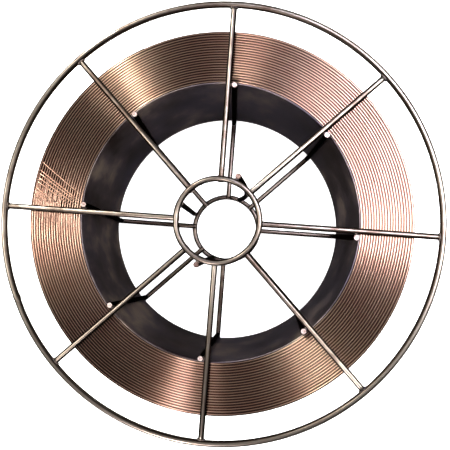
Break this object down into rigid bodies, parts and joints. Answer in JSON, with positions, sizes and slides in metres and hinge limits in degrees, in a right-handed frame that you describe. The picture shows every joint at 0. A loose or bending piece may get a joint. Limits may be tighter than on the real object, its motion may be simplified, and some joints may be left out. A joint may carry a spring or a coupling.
{
  "type": "wire basket spool of welding wire",
  "caption": "Welded wire basket spool with round rims, radial spokes, a spindle bore and a barrel that carries layer-wound coppered welding wire.",
  "frame": {"origin": "centre of the outer face of the rear hub ring, which the spool lies on", "axes": "+Z along the spool's axis from the rear flange to the front flange; +X along a spoke"},
  "size_m": [0.3, 0.3, 0.102],
  "materials": {
    "drawn_steel": "bright drawn wire",
    "liner_steel": "dark oiled sheet, dull",
    "coppered_wire": "thin bright copper coat on drawn steel wire"
  },
  "bodies": {
    "root": {"front_rim": "drawn_steel", "front_hub_ring": "drawn_steel", "front_spoke_1": "drawn_steel", "front_spoke_2": "drawn_steel", "front_spoke_3": "drawn_steel", "front_spoke_4": "drawn_steel", "front_spoke_5": "drawn_steel", "front_spoke_6": "drawn_steel", "front_spoke_7": "drawn_steel", "front_spoke_8": "drawn_steel", "rear_rim": "drawn_steel", "rear_hub_ring": "drawn_steel", "rear_spoke_1": "drawn_steel", "rear_spoke_2": "drawn_steel", "rear_spoke_3": "drawn_steel", "rear_spoke_4": "drawn_steel", "rear_spoke_5": "drawn_steel", "rear_spoke_6": "drawn_steel", "rear_spoke_7": "drawn_steel", "rear_spoke_8": "drawn_steel", "barrel_rod_1": "drawn_steel", "barrel_rod_2": "drawn_steel", "barrel_rod_3": "drawn_steel", "barrel_rod_4": "drawn_steel", "barrel_rod_5": "drawn_steel", "barrel_rod_6": "drawn_steel", "barrel_rod_7": "drawn_steel", "barrel_rod_8": "drawn_steel", "hub_rod_1": "drawn_steel", "hub_rod_2": "drawn_steel", "hub_rod_3": "drawn_steel", "hub_rod_4": "drawn_steel", "barrel_liner": "liner_steel", "wire_winding": "coppered_wire"}
  },
  "joints": []
}
